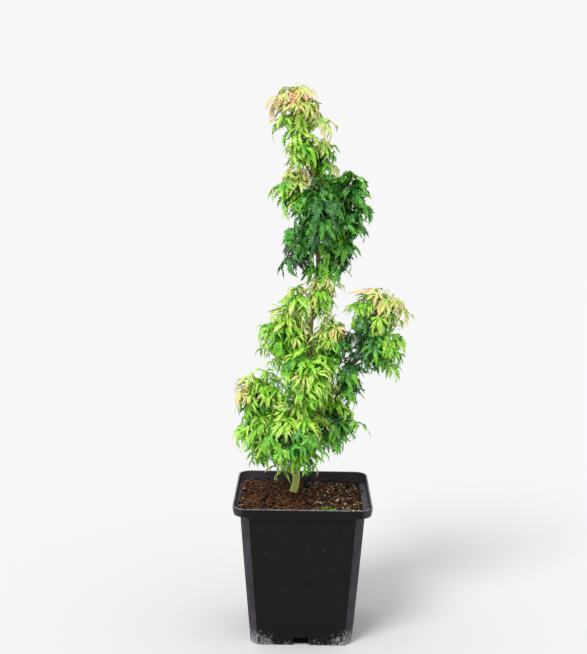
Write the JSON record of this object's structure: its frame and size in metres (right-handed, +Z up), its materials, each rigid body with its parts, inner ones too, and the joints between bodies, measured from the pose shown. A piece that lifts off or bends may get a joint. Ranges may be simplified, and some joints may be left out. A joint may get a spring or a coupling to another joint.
{
  "type": "potted Japanese maple",
  "caption": "Young Japanese maple with crinkled, deep-cut leaves, slender and upright, growing in a square black plastic nursery pot filled with bark compost.",
  "frame": {"origin": "middle of the pot's flat underside", "axes": "+Z up along the plant, -Y towards the front, +X to the right as seen from the front"},
  "size_m": [0.1463, 0.11, 0.4406],
  "materials": {
    "pot_plastic": "moulded black plastic, satin, faintly scuffed",
    "potting_mix": "damp reddish-brown bark and peat with pale grit",
    "bark": "thin young bark, tan-brown, green at the foot",
    "green_leaf": "crinkled mid-green leaves, satin",
    "dark_leaf": "crinkled dark green leaves with a bluish sheen",
    "young_leaf": "thin yellow-green young leaves, coral at the shoot tips"
  },
  "bodies": {
    "root": {"pot": "pot_plastic", "compost": "potting_mix", "trunk": "bark", "bough_low_left": "bark", "bough_low_front": "bark", "bough_low_back": "bark", "bough_low_right": "bark", "bough_right": "bark", "bough_right_low": "bark", "bough_mid_left": "bark", "bough_mid_front": "bark", "bough_mid_back": "bark", "bough_mid_right": "bark", "bough_shoulder": "bark", "bough_upper_right": "bark", "leaves_low_left": "green_leaf", "leaves_low_front": "green_leaf", "leaves_low_back": "green_leaf", "leaves_low_right": "green_leaf", "leaves_mid_left": "green_leaf", "leaves_mid_front": "green_leaf", "leaves_mid_back": "green_leaf", "leaves_mid_right": "young_leaf", "leaves_shoulder": "green_leaf", "leaves_right_dark": "dark_leaf", "leaves_right_low": "green_leaf", "leaves_right_tip": "young_leaf", "leaves_right_heart": "dark_leaf", "leaves_neck": "young_leaf", "leaves_shoulder_top": "young_leaf", "leaves_upper_foot": "dark_leaf", "leaves_upper_skirt": "dark_leaf", "leaves_upper_front": "dark_leaf", "leaves_upper_back": "dark_leaf", "leaves_upper_right": "dark_leaf", "leaves_upper_left": "young_leaf", "leaves_collar_left": "young_leaf", "leaves_collar_right": "young_leaf", "leaves_leader": "young_leaf"}
  },
  "joints": []
}
